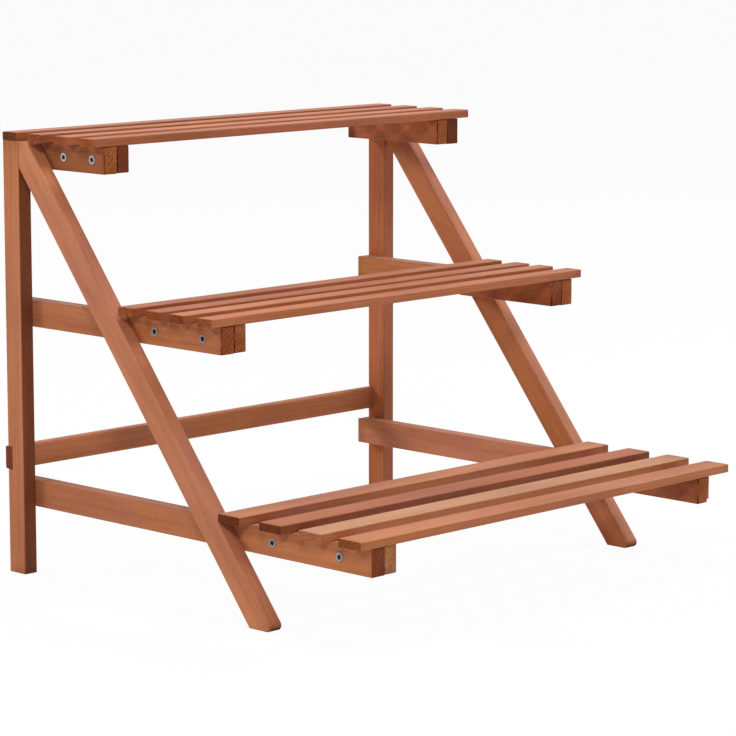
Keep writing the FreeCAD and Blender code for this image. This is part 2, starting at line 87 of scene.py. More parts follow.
def stained_wood(name, ring_gap, ring_depth, streak_depth, roughness):
    """Stained softwood. Rings lie round the heart of the log, fibres run along it."""
    wood = bpy.data.materials.new(name)
    wood.use_nodes = True
    tree = wood.node_tree
    shader = tree.nodes["Principled BSDF"]

    measure = partial(work_out, tree)
    ramp = partial(add_ramp, tree)

    def stretched(scale):
        return add_node(tree, "ShaderNodeVectorMath", {0: place, 1: scale},
                        operation="MULTIPLY").outputs[0]

    def cloud(scale, detail, rough=0.55):
        return add_node(tree, "ShaderNodeTexNoise",
                        {"Vector": stretched(scale), "Scale": 1.0, "Detail": detail,
                         "Roughness": rough}).outputs[0]

    place = add_node(tree, "ShaderNodeAttribute", attribute_name="grain").outputs["Vector"]
    # each face's colour: its stain, with painted light and shade matched face by face
    stain = add_node(tree, "ShaderNodeAttribute", attribute_name="stain").outputs["Color"]
    cut = add_node(tree, "ShaderNodeAttribute", attribute_name="end_grain").outputs["Fac"]
    arris_wear_and_painted_light = add_node(tree, "ShaderNodeAttribute", attribute_name="arris_wear_and_painted_light").outputs["Fac"]

    # growth rings, wandering a little along the log, with a hard dark late edge
    wander = measure("MULTIPLY", cloud((2.6, 21.0, 21.0), 2.0), 0.016)
    ripple = measure("MULTIPLY", cloud((14.0, 160.0, 160.0), 2.0), 0.0022)
    radius = add_node(tree, "ShaderNodeVectorMath",
                      {0: stretched((0.0, 1.0, 1.0))}, operation="LENGTH").outputs["Value"]
    radius = measure("ADD", measure("ADD", radius, wander), ripple)
    ring = measure("FRACT", measure("DIVIDE", radius, ring_gap))
    late = ramp(ring, ((0.0, 0.0), (0.45, 0.16), (0.86, 1.0), (1.0, 0.0)))

    # fibres, pores and the patches where the stain took more or less
    fibre = cloud((22.0, 820.0, 820.0), 3.0, 0.65)
    coarse = cloud((7.0, 210.0, 210.0), 2.0)
    pore = ramp(cloud((75.0, 1500.0, 1500.0), 1.0), ((0.60, 0.0), (0.72, 1.0)))
    patch = cloud((7.0, 34.0, 34.0), 3.0)
    speckle = cloud((420.0, 620.0, 620.0), 1.0)

    # each adds to how dark the stain is, and the rings show twice as clearly on a sawn end
    depth = measure("MULTIPLY_ADD", cut, ring_depth * 0.9, ring_depth)
    dark = measure("MULTIPLY", late, depth)
    dark = measure("MULTIPLY_ADD", pore, 0.13, dark)
    for mottle, strength in ((fibre, streak_depth * 2.4), (coarse, streak_depth * 1.8),
                             (patch, 1.05), (speckle, 0.35)):
        dark = measure("MULTIPLY_ADD", measure("SUBTRACT", 0.5, mottle), strength, dark)
    # sawn ends are speckled with the open ends of the fibres
    ends = measure("MULTIPLY", ramp(speckle, ((0.40, 0.0), (0.66, 1.0))), 0.45)
    dark = measure("ADD", dark, measure("MULTIPLY", cut, ends))

    # the arrises are painted lighter where stain rubbed thin, partly as painted highlight, and
    # painted darker below 0, as painted shade between boards
    rubbed_and_painted_light = ramp(cloud((30.0, 60.0, 60.0), 2.0), ((0.38, 0.15), (0.58, 1.0)))
    rubbed_and_painted_light = measure("MULTIPLY", arris_wear_and_painted_light, rubbed_and_painted_light)
    dark = measure("SUBTRACT", dark, measure("MULTIPLY", rubbed_and_painted_light, 0.34))

    # it has soaked in further at the ends of the board
    reach = add_node(tree, "ShaderNodeAttribute", attribute_name="soaked").outputs["Vector"]
    reach = add_node(tree, "ShaderNodeSeparateXYZ", {0: reach}).outputs
    edge = measure("MULTIPLY", measure("SUBTRACT", patch, 0.5), 0.012)
    for distance, full, gone, strength in ((reach[0], 0.0, 0.009, 0.16),
                                           (reach[1], 0.004, 0.012, reach[2])):
        soaked = add_node(tree, "ShaderNodeMapRange",
                          {0: measure("ADD", distance, edge), 1: full, 2: gone, 3: 1.0, 4: 0.0},
                          interpolation_type="SMOOTHSTEP").outputs[0]
        dark = measure("MULTIPLY_ADD", soaked, strength, dark)

    # where it is darker the stain is also redder, and it blushes from orange to pink
    blush = measure("SUBTRACT", cloud((8.0, 30.0, 30.0), 2.0), 0.5)
    left = [measure("MULTIPLY_ADD", dark, -share, 1.0) for share in (0.66, 0.86, 0.95)]
    tint = add_node(tree, "ShaderNodeCombineXYZ",
                    {0: left[0], 1: left[1], 2: measure("ADD", blush, left[2])})
    colour = add_node(tree, "ShaderNodeVectorMath", {0: stain, 1: tint.outputs[0]},
                      operation="MULTIPLY").outputs[0]
    tree.links.new(colour, shader.inputs["Base Color"])

    gloss = measure("MULTIPLY_ADD", fibre, 0.16, roughness - 0.08)
    tree.links.new(measure("MULTIPLY_ADD", cut, 0.2, gloss), shader.inputs["Roughness"])
    relief = measure("MULTIPLY_ADD", late, -0.35, fibre)
    relief = measure("MULTIPLY_ADD", pore, -0.5, relief)
    bump = add_node(tree, "ShaderNodeBump",
                    {"Height": relief, "Strength": 0.35, "Distance": 0.00022})
    tree.links.new(bump.outputs[0], shader.inputs["Normal"])
    haze = add_node(tree, "ShaderNodeMapRange", {0: cut, 3: 0.15, 4: 0.02}).outputs[0]
    tree.links.new(haze, shader.inputs["Sheen Weight"])
    shader.inputs["Specular IOR Level"].default_value = 0.08
    shader.inputs["Sheen Roughness"].default_value = 0.5
    return wood


def stain_of(red, green, blue):
    """A stain colour given as it shows on a screen, 0 to 255, made linear."""
    return Vector([(value / 255 / 12.92) if value <= 10 else ((value / 255 + 0.055) / 1.055) ** 2.4
                   for value in (red, green, blue)])


def saw_board(name, outline, x_low, x_high, arris):
    """A board whose side view runs through (Y, Z) points, with its arrises rounded over."""
    bm = bmesh.new()
    face = bm.faces.new([bm.verts.new((x_low, y, z)) for y, z in outline])
    grown = bmesh.ops.extrude_face_region(bm, geom=[face])["geom"]
    far = [item for item in grown if isinstance(item, bmesh.types.BMVert)]
    bmesh.ops.translate(bm, vec=(x_high - x_low, 0, 0), verts=far)
    bmesh.ops.recalc_face_normals(bm, faces=bm.faces)
    mesh = bpy.data.meshes.new(name)
    bm.to_mesh(mesh)
    bm.free()
    board = bpy.data.objects.new(name, mesh)
    bpy.context.scene.collection.objects.link(board)
    rounding = board.modifiers.new("arris", "BEVEL")
    rounding.width = arris
    rounding.segments = 3
    rounding.limit_method = "ANGLE"
    rounding.angle_limit = math.radians(35)
    return board


def settle(piece):
    """Turns a piece's modifiers into plain mesh, shaded smooth over its small roundings."""
    for polygon in piece.data.polygons:
        polygon.use_smooth = True
    weigh = piece.modifiers.new("flats stay flat", "WEIGHTED_NORMAL")
    weigh.keep_sharp = True
    graph = bpy.context.evaluated_depsgraph_get()
    mesh = bpy.data.meshes.new_from_object(piece.evaluated_get(graph))
    piece.modifiers.clear()
    piece.data = mesh
    mesh.name = piece.name


def mark_soak(mesh, along, soak):
    """Notes how far each point is from the two ends, where the stain soaked in further.

    Soak is how much darker the stain is at the end that the fibres run towards.
    """
    spots = [vertex.co.dot(along) for vertex in mesh.vertices]
    start, stop = min(spots), max(spots)
    note = mesh.attributes.new("soaked", "FLOAT_VECTOR", "POINT")
    for spot, item in zip(spots, note.data):
        item.vector = (spot - start, stop - spot, soak)


def mark_grain(mesh, along, heart):
    """Notes where each point lay in its log, measured from the heart."""
    centre = sum((vertex.co for vertex in mesh.vertices), Vector()) / len(mesh.vertices)
    across = along.cross(Vector((1, 0, 0))) if abs(along.x) < 0.5 else Vector((0, 1, 0))
    across.normalize()
    through = along.cross(across)
    note = mesh.attributes.new("grain", "FLOAT_VECTOR", "POINT")
    for vertex, item in zip(mesh.vertices, note.data):
        offset = vertex.co - centre
        item.vector = Vector((offset.dot(along), offset.dot(across), offset.dot(through))) + heart


def mark_stain_and_shade(mesh, along, facing, stains_and_shade, wear_and_painted_light=1.0, rim=0.0, board_of=None):
    """Notes each face's painted colour, which faces are sawn ends, and the arrises.

    For each board of the mesh it is given the colours of its broad faces, its edges and
    its ends: stain, with painted light and shade matched face by face. Facing is square to
    the broad faces. The wear value is 1 where the arrises are painted lighter, for stain
    rubbed thin and partly as painted highlight, and below 0 where they are painted darker,
    as painted shade in the groove between two boards. The rim value is how much painted
    shade darkens the rounding round each sawn end, for the seam where it meets the next end.
    """
    for name, kind in (("stain", "FLOAT_COLOR"), ("end_grain", "FLOAT"), ("arris_wear_and_painted_light", "FLOAT")):
        mesh.attributes.new(name, kind, "CORNER")
    tone, cut, arris_wear_and_painted_light = (mesh.attributes[name].data for name in ("stain", "end_grain", "arris_wear_and_painted_light"))
    axes = (facing, along.cross(facing), along)
    for polygon in mesh.polygons:
        board = stains_and_shade[board_of(polygon) if board_of else 0]
        parts = [polygon.normal.dot(axis) ** 2 for axis in axes]
        colour = sum((stain * part for stain, part in zip(board, parts)), Vector((0, 0, 0)))
        for loop in polygon.loop_indices:
            tone[loop].color = (*colour, 1.0)
            cut[loop].value = parts[2]
            arris_wear_and_painted_light[loop].value = (wear_and_painted_light * min(1.0, 2.2 * (1 - max(parts)))
                                - rim * min(1.0, 4 * (1 - abs(2 * parts[2] - 1))))


# the colours painted on the boards' faces, dark to pale: the stain's tone on each cut of the wood,
# with painted light and shade matched face by face
SHADES = {
    "bark": (115, 60, 30), "umber": (135, 70, 40), "walnut": (150, 85, 50),
    "cocoa": (160, 85, 45), "chestnut": (165, 90, 50), "russet": (165, 95, 60),
    "amber": (175, 100, 60), "terracotta": (175, 105, 65), "honey": (180, 110, 70),
    "sand": (185, 115, 80), "straw": (185, 130, 90),
}


def stain_and_shade_of(*shades):
    """The colours painted on a board's broad faces, its edges and its ends: stain, with painted
    light and shade.
    """
    return [stain_of(*SHADES[shade]) for shade in shades]


SOAK = 0.16


def fit_board(piece, nodes, along, heart, stains_and_shade, wood, facing=Vector((1, 0, 0)), wear_and_painted_light=1.0,
              soak=SOAK, rim=0.0):
    """Settles a board, gives it its grain, stain and wood, and puts it in the stand."""
    settle(piece)
    mark_grain(piece.data, along, Vector(heart))
    mark_soak(piece.data, along, soak)
    mark_stain_and_shade(piece.data, along, facing, [stains_and_shade], wear_and_painted_light, rim)
    piece.data.materials.clear()
    piece.data.materials.append(wood)
    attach(piece, "root")
    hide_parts(*nodes)


frame_wood = stained_wood("stained_frame_wood", ring_gap=0.0042, ring_depth=0.13,
                          streak_depth=0.16, roughness=0.52)

# broad faces, edges and ends: stain with painted light and shade; the left post's dark edges are
# partly painted shade
POST_STAIN_AND_SHADE = {
    "left": stain_and_shade_of("honey", "bark", "russet"),
    "right": stain_and_shade_of("amber", "russet", "russet"),
}
POST_HEARTS = {"left": (0.31, 0.030, 0.012), "right": (1.74, 0.018, -0.026)}

for side in ("left", "right"):
    low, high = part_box(f"post_{side}")
    cut_low, cut_high = HOUSING
    lip = [(high.y, cut_high.z)]
    # the right post's housing has had its upper lip rounded off
    if side == "right":
        lip = [(high.y - HOUSING_LIP * (1 - math.sin(turn)),
                cut_high.z + HOUSING_LIP * (1 - math.cos(turn)))
               for turn in (math.radians(15 * step) for step in range(7))]
    outline = [(low.y, 0), (high.y, 0), (high.y, cut_low.z), (cut_low.y, cut_low.z),
               (cut_low.y, cut_high.z), *lip, (high.y, high.z), (low.y, high.z)]
    post = saw_board(f"rear_post_{side}", outline, low.x, high.x, POST_ARRIS)
    fit_board(post, [f"post_{side}"], Vector((0, 0, 1)), POST_HEARTS[side],
              POST_STAIN_AND_SHADE[side], frame_wood)

# ------------------------------------------------------------------ leaning legs
# Two legs of the same stock, sawn at a slant where they meet the floor, the top shelf
# and the post. The sharp toe of each foot is rounded off, and its heel is eased.

LEG_WIDTH = 0.0235
LEG_HEAD_FLAT = 0.0115
SHELF_GAP = 0.0005
TOE = 0.0045
HEEL = 0.0015
# broad faces, edges and ends: stain with painted light and shade
LEG_STAIN_AND_SHADE = {
    "left": stain_and_shade_of("sand", "sand", "bark"),
    "right": stain_and_shade_of("terracotta", "sand", "bark"),
}
LEG_HEARTS = {"left": (0.92, 0.006, 0.041), "right": (2.66, -0.021, 0.020)}

for side in ("left", "right"):
    low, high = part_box(f"leg_{side}")
    butt = high.y
    head = butt - LEG_HEAD_FLAT
    # its front just clears the bottom shelf's last slat
    slat_low, slat_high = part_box("slat_bottom_4")
    slope = (head - slat_high.y - SHELF_GAP) / (high.z - slat_low.z)
    slant = Vector((0, slope, 1)).normalized()
    run = LEG_WIDTH / slant.z
    foot = head - slope * high.z
    # the toe's arc touches the floor and the sloping front face, the heel's the back one
    corner = math.atan2(1, slope)
    reach = TOE / math.tan(corner / 2)
    middle = Vector((foot + reach, TOE))
    arc = [(middle.x + TOE * math.cos(turn), middle.y + TOE * math.sin(turn))
           for turn in (math.radians(-90) - (math.pi - corner) * step / 6 for step in range(7))]
    ease = HEEL * math.tan(corner / 2)
    back = Vector((foot + run - ease, HEEL))
    sweep = [(back.x + HEEL * math.cos(turn), back.y + HEEL * math.sin(turn))
             for turn in (math.radians(-90) + corner * step / 4 for step in range(4, -1, -1))]
    outline = [(head, high.z), (butt, high.z), (butt, (butt - foot - run) / slope),
               *sweep, *arc]
    leg = saw_board(f"leaning_leg_{side}", outline, low.x, high.x, POST_ARRIS)
    fit_board(leg, [f"leg_{side}"], slant, LEG_HEARTS[side], LEG_STAIN_AND_SHADE[side], frame_wood)

# ------------------------------------------------------------------ side rails
# Level rails on the inner faces of the posts and legs, three a side. They are bored and
# countersunk from outside for the screws that hold the shelves' bearers.

SINK_RADIUS = 0.0043
BORE_RADIUS = 0.0021
BORE_DEPTH = 0.030
OVERCUT = 0.0005
# how far behind the shelf's front edge each tier's screws sit
SCREWS = {"top": (0.017, 0.055), "middle": (0.024, 0.085), "bottom": (0.0385, 0.1175)}
RAIL_ARRIS = 0.0008
# how dark the rounding round each sawn end is painted: painted shade for the seam where a rail's end
# meets its bearer's
END_SEAM_SHADE = 2.4
rail_dice = Random(4)


def screw_places(tier, side):
    """Where one rail's screws sit: on its outer face, at mid height, behind the shelf's front."""
    low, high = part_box(f"rail_{tier}_{side}")
    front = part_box(f"slat_{tier}_1")[0].y
    outer = low.x if side == "left" else high.x
    return [Vector((outer, front + back, (low.z + high.z) / 2)) for back in SCREWS[tier]]


def bore_for_screws(board, places, outward):
    """Drills and countersinks a rail square to its outer face."""
    bm = bmesh.new()
    for place in places:
        turn = Matrix.Rotation(math.radians(90), 4, "Y")
        for radius_out, radius_in, depth, start in (
                (SINK_RADIUS + OVERCUT, BORE_RADIUS, SINK_RADIUS - BORE_RADIUS + OVERCUT, OVERCUT),
                (BORE_RADIUS, BORE_RADIUS, BORE_DEPTH, -2 * OVERCUT)):
            middle = place + Vector((outward * (start - depth / 2), 0, 0))
            wide, narrow = (radius_in, radius_out) if outward > 0 else (radius_out, radius_in)
            bmesh.ops.create_cone(bm, cap_ends=True, segments=40, radius1=wide, radius2=narrow,
                                  depth=depth, matrix=Matrix.Translation(middle) @ turn)
    mesh = bpy.data.meshes.new("screw_bit")
    bm.to_mesh(mesh)
    bm.free()
    bit = bpy.data.objects.new("screw_bit", mesh)
    bpy.context.scene.collection.objects.link(bit)
    drilling = board.modifiers.new("bores", "BOOLEAN")
    drilling.object = bit
    drilling.operation = "DIFFERENCE"
    drilling.solver = "EXACT"
    drilling.use_self = True
    return bit


def square_sawn(low, high):
    """The side view of a board that is sawn square, as its four corners."""
    return [(low.y, low.z), (high.y, low.z), (high.y, high.z), (low.y, high.z)]


# side and top faces, then the sawn ends: stain, with painted light and shade
RAIL_STAIN_AND_SHADE = {
    ("top", "left"): ("walnut", "honey"),
    ("middle", "left"): ("terracotta", "chestnut"),
    ("bottom", "left"): ("terracotta", "umber"),
    ("top", "right"): ("russet", "bark"),
    ("middle", "right"): ("terracotta", "amber"),
    ("bottom", "right"): ("sand", "terracotta"),
}
for (tier, side), (shade, sawn) in RAIL_STAIN_AND_SHADE.items():
    low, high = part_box(f"rail_{tier}_{side}")
    rail = saw_board(f"side_rail_{tier}_{side}", square_sawn(low, high), low.x, high.x, RAIL_ARRIS)
    bit = bore_for_screws(rail, screw_places(tier, side), -1 if side == "left" else 1)
    heart = (rail_dice.uniform(0, 3), rail_dice.uniform(-0.03, 0.03), rail_dice.uniform(0.015, 0.05))
    # the rails' arrises are painted a little darker: painted shade for the groove where rail and
    # bearer meet
    fit_board(rail, [f"rail_{tier}_{side}"], Vector((0, 1, 0)), heart,
              stain_and_shade_of(shade, shade, sawn), frame_wood, wear_and_painted_light=-0.3, rim=END_SEAM_SHADE)
    bpy.data.objects.remove(bit)

# ------------------------------------------------------------------ back rail
# One thin rail between the posts' housings, its long corners rounded over. It stands
# a little proud of the posts' rear edges and keeps the two side frames square.

BACK_ROUND = 0.002
BACK_ARRIS = 0.0005
low, high = HOUSING
outline = [(y + BACK_ROUND * math.cos(turn), z + BACK_ROUND * math.sin(turn))
           for y, z, start in ((high.y - BACK_ROUND, high.z - BACK_ROUND, 0),
                               (low.y + BACK_ROUND, high.z - BACK_ROUND, 90),
                               (low.y + BACK_ROUND, low.z + BACK_ROUND, 180),
                               (high.y - BACK_ROUND, low.z + BACK_ROUND, 270))
           for turn in (math.radians(start + 18 * step) for step in range(6))]
back_rail = saw_board("cross_rail_back", outline, low.x, high.x, BACK_ARRIS)
# its faces' colours are stain with painted light and shade
fit_board(back_rail, ["back_rail"], Vector((1, 0, 0)), (0.5, 0.022, 0.017),
          stain_and_shade_of("honey", "honey", "umber"), frame_wood, facing=Vector((0, 1, 0)))

# ------------------------------------------------------------------ bearers
# Two bearers under each shelf, screwed to the side rails from outside. Their front ends
# are sawn square and left rough, so the end grain shows. One rear end is darker.

BEARER_ARRIS = 0.0011
DARKER_REAR_END = 0.75
# side and top faces, then the sawn ends: stain with painted light and shade
BEARER_STAIN_AND_SHADE = {
    ("top", "left"): ("russet", "umber"),
    ("middle", "left"): ("russet", "sand"),
    ("bottom", "left"): ("terracotta", "straw"),
    ("top", "right"): ("amber", "terracotta"),
    ("middle", "right"): ("cocoa", "walnut"),
    ("bottom", "right"): ("russet", "terracotta"),
}
for (tier, side), (shade, sawn) in BEARER_STAIN_AND_SHADE.items():
    low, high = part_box(f"bearer_{tier}_{side}")
    bearer = saw_board(f"shelf_bearer_{tier}_{side}", square_sawn(low, high), low.x, high.x,
                       BEARER_ARRIS)
    heart = (rail_dice.uniform(0, 3), rail_dice.uniform(-0.02, 0.02), rail_dice.uniform(0.012, 0.03))
    # the top right bearer is darker over the last centimetre of its rear end
    soak = DARKER_REAR_END if (tier, side) == ("top", "right") else SOAK
    # the bearers' arrises are painted darker still: painted shade for the groove where bearer and
    # rail meet
    fit_board(bearer, [f"bearer_{tier}_{side}"], Vector((0, 1, 0)), heart,
              stain_and_shade_of(shade, shade, sawn), frame_wood, wear_and_painted_light=-0.6, soak=soak,
              rim=END_SEAM_SHADE)

# ------------------------------------------------------------------ slats
# Four planed slats to a shelf, nailed down on its bearers with their ends flush with the
# side frames. Each was cut from another board, so each has its own tone and rings.

SLAT_ARRIS = 0.0009
SLAT_RIM = 0.0004
SLAT_BOW = 0.0004
slat_wood = stained_wood("stained_slat_wood", ring_gap=0.0036, ring_depth=0.15,
                         streak_depth=0.17, roughness=0.55)


def tree_with(name, sizes):
    """An empty maker's tree with named inputs for its sizes, and for its finish."""
    tree = bpy.data.node_groups.new(name, "GeometryNodeTree")
    tree.interface.new_socket("Places", in_out="INPUT", socket_type="NodeSocketGeometry")
    for label, kind in sizes:
        tree.interface.new_socket(label, in_out="INPUT", socket_type=kind)
    tree.interface.new_socket("Finish", in_out="INPUT", socket_type="NodeSocketMaterial")
    tree.interface.new_socket("Result", in_out="OUTPUT", socket_type="NodeSocketGeometry")
    given = tree.nodes.new("NodeGroupInput").outputs
    return tree, given


def make_slats_tree():
    """Slats laid on a row of places: a rounded section drawn along a line, then set out."""
    tree, given = tree_with("lay_slats", (
        ("Length", "NodeSocketFloat"), ("Width", "NodeSocketFloat"),
        ("Thickness", "NodeSocketFloat"), ("Arris", "NodeSocketFloat"),
        ("Bow", "NodeSocketFloat"), ("Seed", "NodeSocketInt")))

    measure = partial(work_out, tree)

    def note(geometry, name, kind, domain, value):
        return add_node(tree, "GeometryNodeStoreNamedAttribute",
                        {"Geometry": geometry, "Name": name, "Value": value},
                        data_type=kind, domain=domain).outputs[0]

    half = measure("MULTIPLY", given["Length"], 0.5)
    ends = [add_node(tree, "ShaderNodeCombineXYZ", {0: end}).outputs[0]
            for end in (measure("MULTIPLY", half, -1.0), half)]
    line = add_node(tree, "GeometryNodeCurvePrimitiveLine", {"Start": ends[0], "End": ends[1]})
    line = add_node(tree, "GeometryNodeResampleCurve", {"Curve": line.outputs[0], "Count": 25})
    level = add_node(tree, "GeometryNodeSetCurveNormal", {"Curve": line.outputs[0]}, mode="Z_UP")
    section = add_node(tree, "GeometryNodeCurvePrimitiveQuadrilateral",
                       {"Width": given["Width"], "Height": given["Thickness"]})
    section = add_node(tree, "GeometryNodeFilletCurve",
                       {"Curve": section.outputs[0], "Radius": given["Arris"]}, mode="POLY")
    section.inputs["Count"].default_value = 3
    slat = add_node(tree, "GeometryNodeCurveToMesh",
                    {"Curve": level.outputs[0], "Profile Curve": section.outputs[0],
                     "Fill Caps": True}).outputs[0]
    here = add_node(tree, "GeometryNodeInputPosition").outputs[0]
    slat = note(slat, "grain", "FLOAT_VECTOR", "POINT", here)

    # every slat from its own log: where it lay from the heart, and how it has bowed
    laid = add_node(tree, "GeometryNodeInstanceOnPoints",
                    {"Points": given["Places"], "Instance": slat}).outputs[0]
    log = add_node(tree, "FunctionNodeRandomValue",
                   {0: (-2.0, -0.030, 0.014), 1: (2.0, 0.030, 0.045), "Seed": given["Seed"]},
                   data_type="FLOAT_VECTOR").outputs[0]
    laid = note(laid, "log", "FLOAT_VECTOR", "INSTANCE", log)
    sway = add_node(tree, "FunctionNodeRandomValue",
                    {2: -1.0, 3: 1.0, "Seed": given["Seed"]}, data_type="FLOAT").outputs[1]
    laid = note(laid, "sway", "FLOAT", "INSTANCE", sway)
    laid = add_node(tree, "GeometryNodeRealizeInstances", {0: laid}).outputs[0]

    log = add_node(tree, "GeometryNodeInputNamedAttribute", {"Name": "log"},
                   data_type="FLOAT_VECTOR").outputs[0]
    sway = add_node(tree, "GeometryNodeInputNamedAttribute", {"Name": "sway"},
                    data_type="FLOAT").outputs[0]
    local = add_node(tree, "GeometryNodeInputNamedAttribute", {"Name": "grain"},
                     data_type="FLOAT_VECTOR").outputs[0]
    x = add_node(tree, "ShaderNodeSeparateXYZ", {0: local}).outputs[0]
    share = measure("DIVIDE", x, half)
    bend = measure("SUBTRACT", 1.0, measure("MULTIPLY", share, share))
    bend = measure("MULTIPLY", bend, measure("MULTIPLY", sway, given["Bow"]))
    shift = add_node(tree, "ShaderNodeCombineXYZ", {1: bend}).outputs[0]
    laid = add_node(tree, "GeometryNodeSetPosition", {"Geometry": laid, "Offset": shift}).outputs[0]
    whole = add_node(tree, "ShaderNodeVectorMath", {0: local, 1: log}, operation="ADD").outputs[0]
    laid = note(laid, "grain", "FLOAT_VECTOR", "POINT", whole)
    laid = add_node(tree, "GeometryNodeSetMaterial",
                    {"Geometry": laid, "Material": given["Finish"]}).outputs[0]
    add_node(tree, "NodeGroupOutput", {0: laid})
    return tree


NOTE_KINDS = {int: "INT", float: "FLOAT", Vector: "FLOAT_VECTOR"}


def run_tree(name, tree, places, notes, values):
    """Gives a tree its places, one point each with its notes, and returns the mesh it makes."""
    mesh = bpy.data.meshes.new(name)
    mesh.from_pydata([tuple(place) for place in places], [], [])
    for label, said in notes.items():
        kind = type(said[0])
        note = mesh.attributes.new(label, NOTE_KINDS[kind], "POINT")
        for item, value in zip(note.data, said):
            setattr(item, "vector" if kind is Vector else "value", value)
    piece = bpy.data.objects.new(name, mesh)
    bpy.context.scene.collection.objects.link(piece)
    making = piece.modifiers.new("making", "NODES")
    making.node_group = tree
    sockets = {item.name: item.identifier for item in tree.interface.items_tree
               if item.in_out == "INPUT"}
    for label, value in values.items():
        making[sockets[label]] = value
    graph = bpy.context.evaluated_depsgraph_get()
    made = bpy.data.meshes.new_from_object(piece.evaluated_get(graph))
    piece.modifiers.clear()
    piece.data = made
    made.name = name
    return piece


# for each slat from the front: its top, its long edges and its sawn ends: stain, with painted light
# and shade, and the edges in the shade between slats painted darker
SLAT_STAIN_AND_SHADE = {
    "top": (("russet", "russet", "chestnut"),
            ("amber", "russet", "chestnut"),
            ("russet", "chestnut", "russet"),
            ("russet", "walnut", "bark")),
    "middle": (("amber", "terracotta", "walnut"),
               ("terracotta", "chestnut", "umber"),
               ("chestnut", "russet", "cocoa"),
               ("russet", "cocoa", "amber")),
    "bottom": (("honey", "terracotta", "walnut"),
               ("straw", "terracotta", "honey"),
               ("chestnut", "umber", "bark"),
               ("honey", "russet", "bark")),
}
SLAT_SEEDS = {"top": 11, "middle": 5, "bottom": 23}
slats_tree = make_slats_tree()

for tier, shades in SLAT_STAIN_AND_SHADE.items():
    nodes = [f"slat_{tier}_{number}" for number in (1, 2, 3, 4)]
    boxes = [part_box(node) for node in nodes]
    low, high = boxes[0]
    places = [(corner + opposite) / 2 for corner, opposite in boxes]
    slats = run_tree(f"{tier}_shelf_slats", slats_tree, places, {"number": [0, 1, 2, 3]}, {
        "Length": high.x - low.x, "Width": high.y - low.y, "Thickness": high.z - low.z,
        "Arris": SLAT_ARRIS, "Bow": SLAT_BOW, "Seed": SLAT_SEEDS[tier], "Finish": slat_wood,
    })
    rims = slats.modifiers.new("rims", "BEVEL")
    rims.width = SLAT_RIM
    rims.segments = 2
    rims.limit_method = "ANGLE"
    rims.angle_limit = math.radians(60)
    settle(slats)
    mesh = slats.data
    order = [item.value for item in mesh.attributes["number"].data]
    mark_soak(mesh, Vector((1, 0, 0)), SOAK)
    mark_stain_and_shade(mesh, Vector((1, 0, 0)), Vector((0, 0, 1)), [stain_and_shade_of(*shade) for shade in shades],
               board_of=lambda polygon: order[polygon.vertices[0]])
    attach(slats, "root")
    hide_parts(*nodes)

# ------------------------------------------------------------------ screws
# Zinc-plated countersunk screws with a cross recess, driven through the side rails into
# the bearers. The plating has dulled, and on most of them dark stain fills the middle; the
# dark middle of each head is also painted shade in the recess.

HEAD_RADIUS = 0.0040
SHANK_RADIUS = 0.0020
SCREW_LENGTH = 0.026
RIM_DEPTH = 0.0003
RECESS_SPAN = 0.0044
RECESS_WIDTH = 0.0015
RECESS_DEPTH = 0.0021
# how clean each head is, the front one first
CLEAN = {"top": (0.7, 1.0), "middle": (0.1, 0.2), "bottom": (0.5, 0.4)}
# a head's colour from its middle to its rim, stained over and clean; the dark middle of both is
# painted shade in the recess, with stain on the stained-over ones
STAINED_AND_SHADED_HEAD = ((0.40, (0.012, 0.010, 0.012)), (0.56, (0.11, 0.085, 0.08)),
                (0.80, (0.30, 0.19, 0.15)), (0.98, (0.28, 0.15, 0.10)))
CLEAN_HEAD = ((0.14, (0.10, 0.10, 0.12)), (0.50, (0.24, 0.26, 0.30)),
              (0.80, (0.50, 0.53, 0.58)), (0.98, (0.30, 0.26, 0.24)))

steel = bpy.data.materials.new("dull_zinc")
steel.use_nodes = True
tree = steel.node_tree
shader = tree.nodes["Principled BSDF"]
turned = add_node(tree, "ShaderNodeAttribute", attribute_name="turned").outputs["Vector"]
flat = add_node(tree, "ShaderNodeVectorMath", {0: turned, 1: (1.0, 1.0, 0.0)},
                operation="MULTIPLY").outputs[0]
radius = add_node(tree, "ShaderNodeVectorMath", {0: flat}, operation="LENGTH").outputs["Value"]
where = add_node(tree, "ShaderNodeTexCoord").outputs["Object"]
scuff = add_node(tree, "ShaderNodeTexNoise", {"Vector": where, "Scale": 700.0, "Detail": 3.0})
ragged = work_out(tree, "MULTIPLY_ADD", scuff.outputs[0], 0.0016, -0.0008)
ragged = work_out(tree, "ADD", radius, ragged)
share = add_node(tree, "ShaderNodeMapRange", {0: ragged, 2: HEAD_RADIUS}).outputs[0]
plates = [add_ramp(tree, share, shades) for shades in (STAINED_AND_SHADED_HEAD, CLEAN_HEAD)]
clean = add_node(tree, "ShaderNodeAttribute", attribute_name="clean").outputs["Fac"]
plate = add_node(tree, "ShaderNodeMix", {0: clean, 6: plates[0], 7: plates[1]}, data_type="RGBA")
tree.links.new(plate.outputs[2], shader.inputs["Base Color"])
bare = add_node(tree, "ShaderNodeMapRange", {0: clean, 3: 0.25, 4: 1.0}).outputs[0]
tree.links.new(bare, shader.inputs["Metallic"])
rough = add_node(tree, "ShaderNodeMapRange", {0: scuff.outputs[0], 3: 0.30, 4: 0.55})
tree.links.new(rough.outputs[0], shader.inputs["Roughness"])
lathe = work_out(tree, "SINE", work_out(tree, "MULTIPLY", radius, 15000.0))
relief = add_node(tree, "ShaderNodeBump", {"Height": lathe, "Strength": 0.15, "Distance": 0.0001})
tree.links.new(relief.outputs[0], shader.inputs["Normal"])


